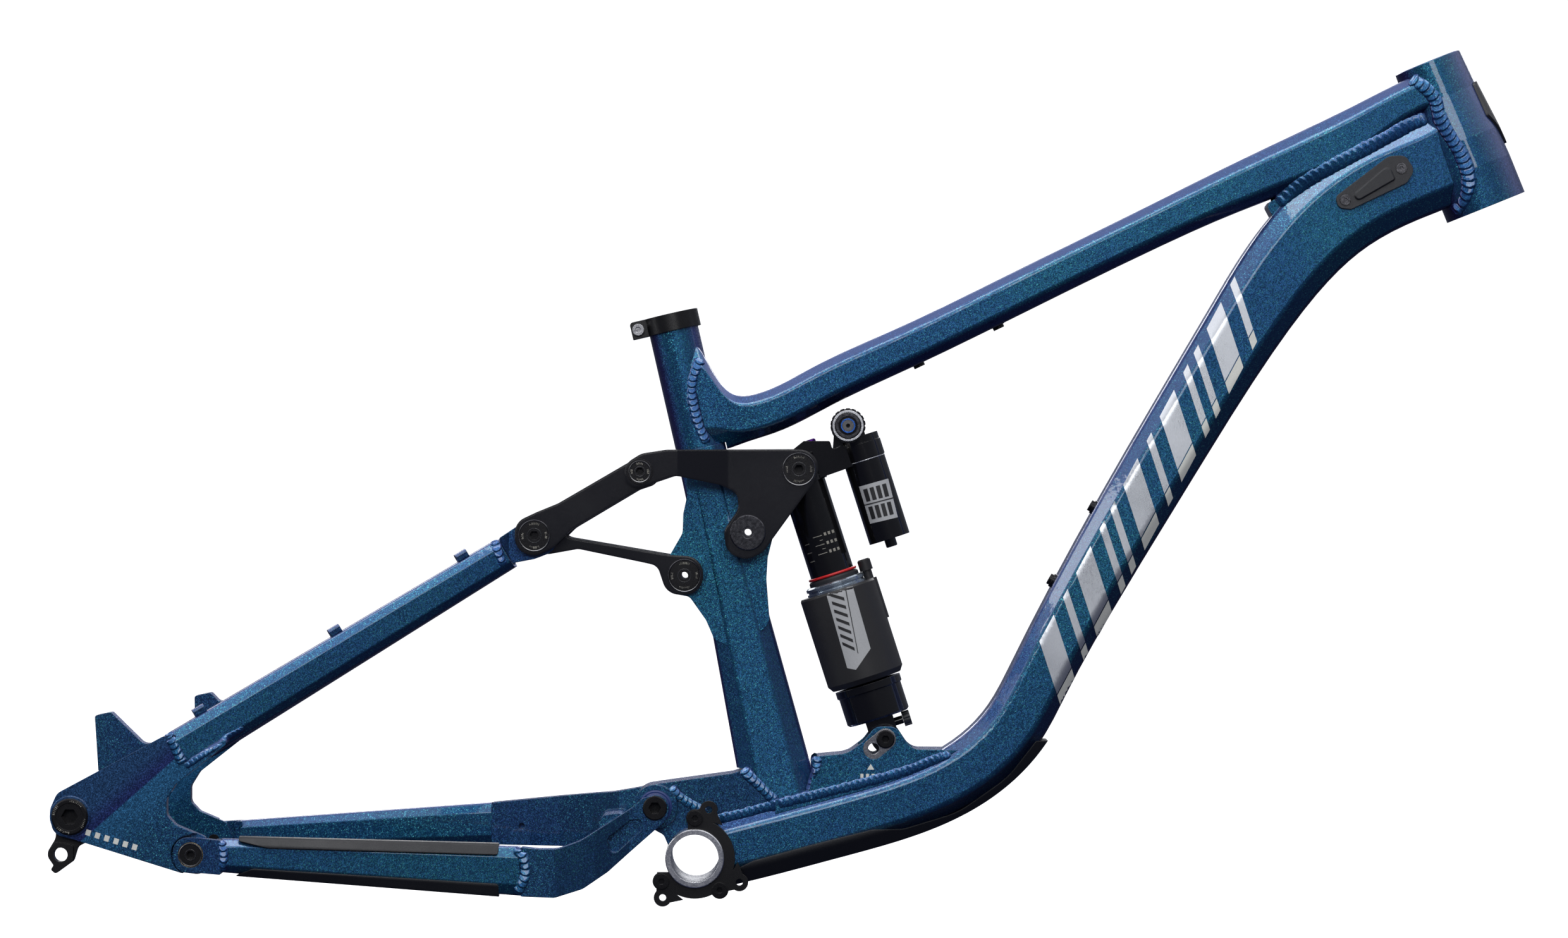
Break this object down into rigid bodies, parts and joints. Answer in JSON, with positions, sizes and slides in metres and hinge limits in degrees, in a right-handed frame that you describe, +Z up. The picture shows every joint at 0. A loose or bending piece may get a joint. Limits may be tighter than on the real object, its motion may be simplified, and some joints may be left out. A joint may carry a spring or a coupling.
{
  "type": "bicycle frame",
  "caption": "Full-suspension mountain bicycle frame with rocker linkage, trunnion-mounted rear shock with reservoir and through-axle dropouts.",
  "frame": {"origin": "centre of the bottom bracket shell", "axes": "+X forward, +Y to the bicycle's left, +Z up"},
  "size_m": [1.0608, 0.1817, 0.6191],
  "materials": {
    "paint": "painted, metallic flake under a gloss clear coat, blue turning to teal and violet",
    "black_alloy": "black anodised, glossy",
    "silver_alloy": "machined",
    "steel": "turned",
    "black_steel": "black oxide",
    "brass": "satin",
    "rubber": "matt",
    "red_rubber": "satin",
    "black_plastic": "matt",
    "can_black": "matt anodised"
  },
  "bodies": {
    "front_triangle": {"head_tube": "paint", "top_tube": "paint", "down_tube": "paint", "seat_tube": "paint", "seat_mast": "paint", "pivot_housing": "paint", "shock_mount": "paint", "bb_shell": "silver_alloy", "iscg_plate": "black_alloy", "iscg_bolts": "black_steel", "seat_clamp": "black_alloy", "seat_clamp_bolt": "steel", "down_tube_guard": "rubber", "cable_port_cover": "black_plastic", "cover_screws": "steel", "bottle_bosses": "black_steel", "head_badge": "black_plastic", "flip_chips": "black_alloy", "shock_bolt": "black_steel", "main_pivot_bearings": "brass", "mast_bearings": "brass"},
    "chainstay": {"chainstay_yoke": "paint", "main_pivot_axle": "black_steel", "chainstay_right": "paint", "chainstay_left": "paint", "horst_end_right": "paint", "horst_end_left": "paint", "horst_bearings": "brass", "chainstay_guards": "rubber"},
    "seatstay": {"dropout_right": "paint", "dropout_left": "paint", "derailleur_hanger": "black_alloy", "rear_axle": "black_steel", "seatstay_right": "paint", "seatstay_left": "paint", "seatstay_eyes": "paint", "seatstay_bearings": "brass", "horst_bolts": "black_steel", "brake_mount": "paint", "cable_guides": "paint"},
    "link": {"lower_link": "black_alloy", "lower_link_axle": "black_steel"},
    "rocker": {"rocker_right": "black_alloy", "rocker_left": "black_alloy", "rocker_axle": "steel", "dog_pins": "black_steel", "trunnion_bolts": "black_steel"},
    "dogbone": {"dogbones": "black_alloy", "dogbone_bolts": "black_steel"},
    "shock_can": {"air_can": "can_black", "can_collar": "silver_alloy", "wiper_seal": "rubber", "valve_cap": "black_alloy", "lower_can": "black_alloy"},
    "rebound_adjuster": {"rebound_knob": "black_alloy"},
    "shock_body": {"shock_head": "black_alloy", "damper_body": "can_black", "reservoir": "black_alloy"},
    "compression_adjuster": {"compression_dial": "black_alloy"},
    "travel_ring": {"o_ring": "red_rubber"}
  },
  "joints": [
    {"name": "main_pivot", "type": "hinge", "parent": "front_triangle", "child": "chainstay", "pos_m": [-0.0285, 0, 0.0365], "axis": [0, 1, 0], "range_deg": [0, 24], "stiffness_Nm_per_rad": 1400},
    {"name": "horst_pivot", "type": "hinge", "parent": "chainstay", "child": "seatstay", "pos_m": [-0.357, 0, 0.0063], "axis": [0, 1, 0], "range_deg": [-10.5, 0]},
    {"name": "link_pivot", "type": "hinge", "parent": "front_triangle", "child": "link", "pos_m": [-0.0075, 0, 0.2035], "axis": [0, 1, 0], "range_deg": [0, 51.2]},
    {"name": "rocker_pivot", "type": "hinge", "parent": "front_triangle", "child": "rocker", "pos_m": [0.0382, 0, 0.2345], "axis": [0, 1, 0], "range_deg": [0, 58.1]},
    {"name": "dogbone_pivot", "type": "hinge", "parent": "rocker", "child": "dogbone", "pos_m": [-0.039, 0, 0.2785], "axis": [0, 1, 0], "range_deg": [-38.5, 0]},
    {"name": "shock_pivot", "type": "hinge", "parent": "front_triangle", "child": "shock_can", "pos_m": [0.1375, 0, 0.0855], "axis": [0, 1, 0], "range_deg": [0, 1.7]},
    {"name": "shock_slide", "type": "slide", "parent": "shock_can", "child": "shock_body", "axis": [0.3052, 0, -0.9523], "range_m": [0, 0.0568]},
    {"name": "ring_slide", "type": "slide", "parent": "shock_body", "child": "travel_ring", "axis": [-0.3052, 0, 0.9523], "range_m": [0, 0.0568]},
    {"name": "compression_turn", "type": "hinge", "parent": "shock_body", "child": "compression_adjuster", "pos_m": [0.1105, -0.02, 0.3115], "axis": [0, -1, 0], "range_deg": [-110, 110]},
    {"name": "rebound_turn", "type": "hinge", "parent": "shock_can", "child": "rebound_adjuster", "pos_m": [0.15295, 0, 0.09954], "axis": [0.9523, 0, 0.3052], "range_deg": [-150, 150]}
  ],
  "couplings": [
    {"joint": "horst_pivot", "follows": "main_pivot", "ratio": -0.43251},
    {"joint": "link_pivot", "follows": "main_pivot", "ratio": 2.1295},
    {"joint": "rocker_pivot", "follows": "main_pivot", "ratio": 2.4163},
    {"joint": "dogbone_pivot", "follows": "main_pivot", "ratio": -1.6014},
    {"joint": "shock_pivot", "follows": "main_pivot", "ratio": 0.069255},
    {"joint": "shock_slide", "follows": "main_pivot", "m_per_rad": 0.13541},
    {"joint": "ring_slide", "follows": "main_pivot", "m_per_rad": 0.13541}
  ]
}
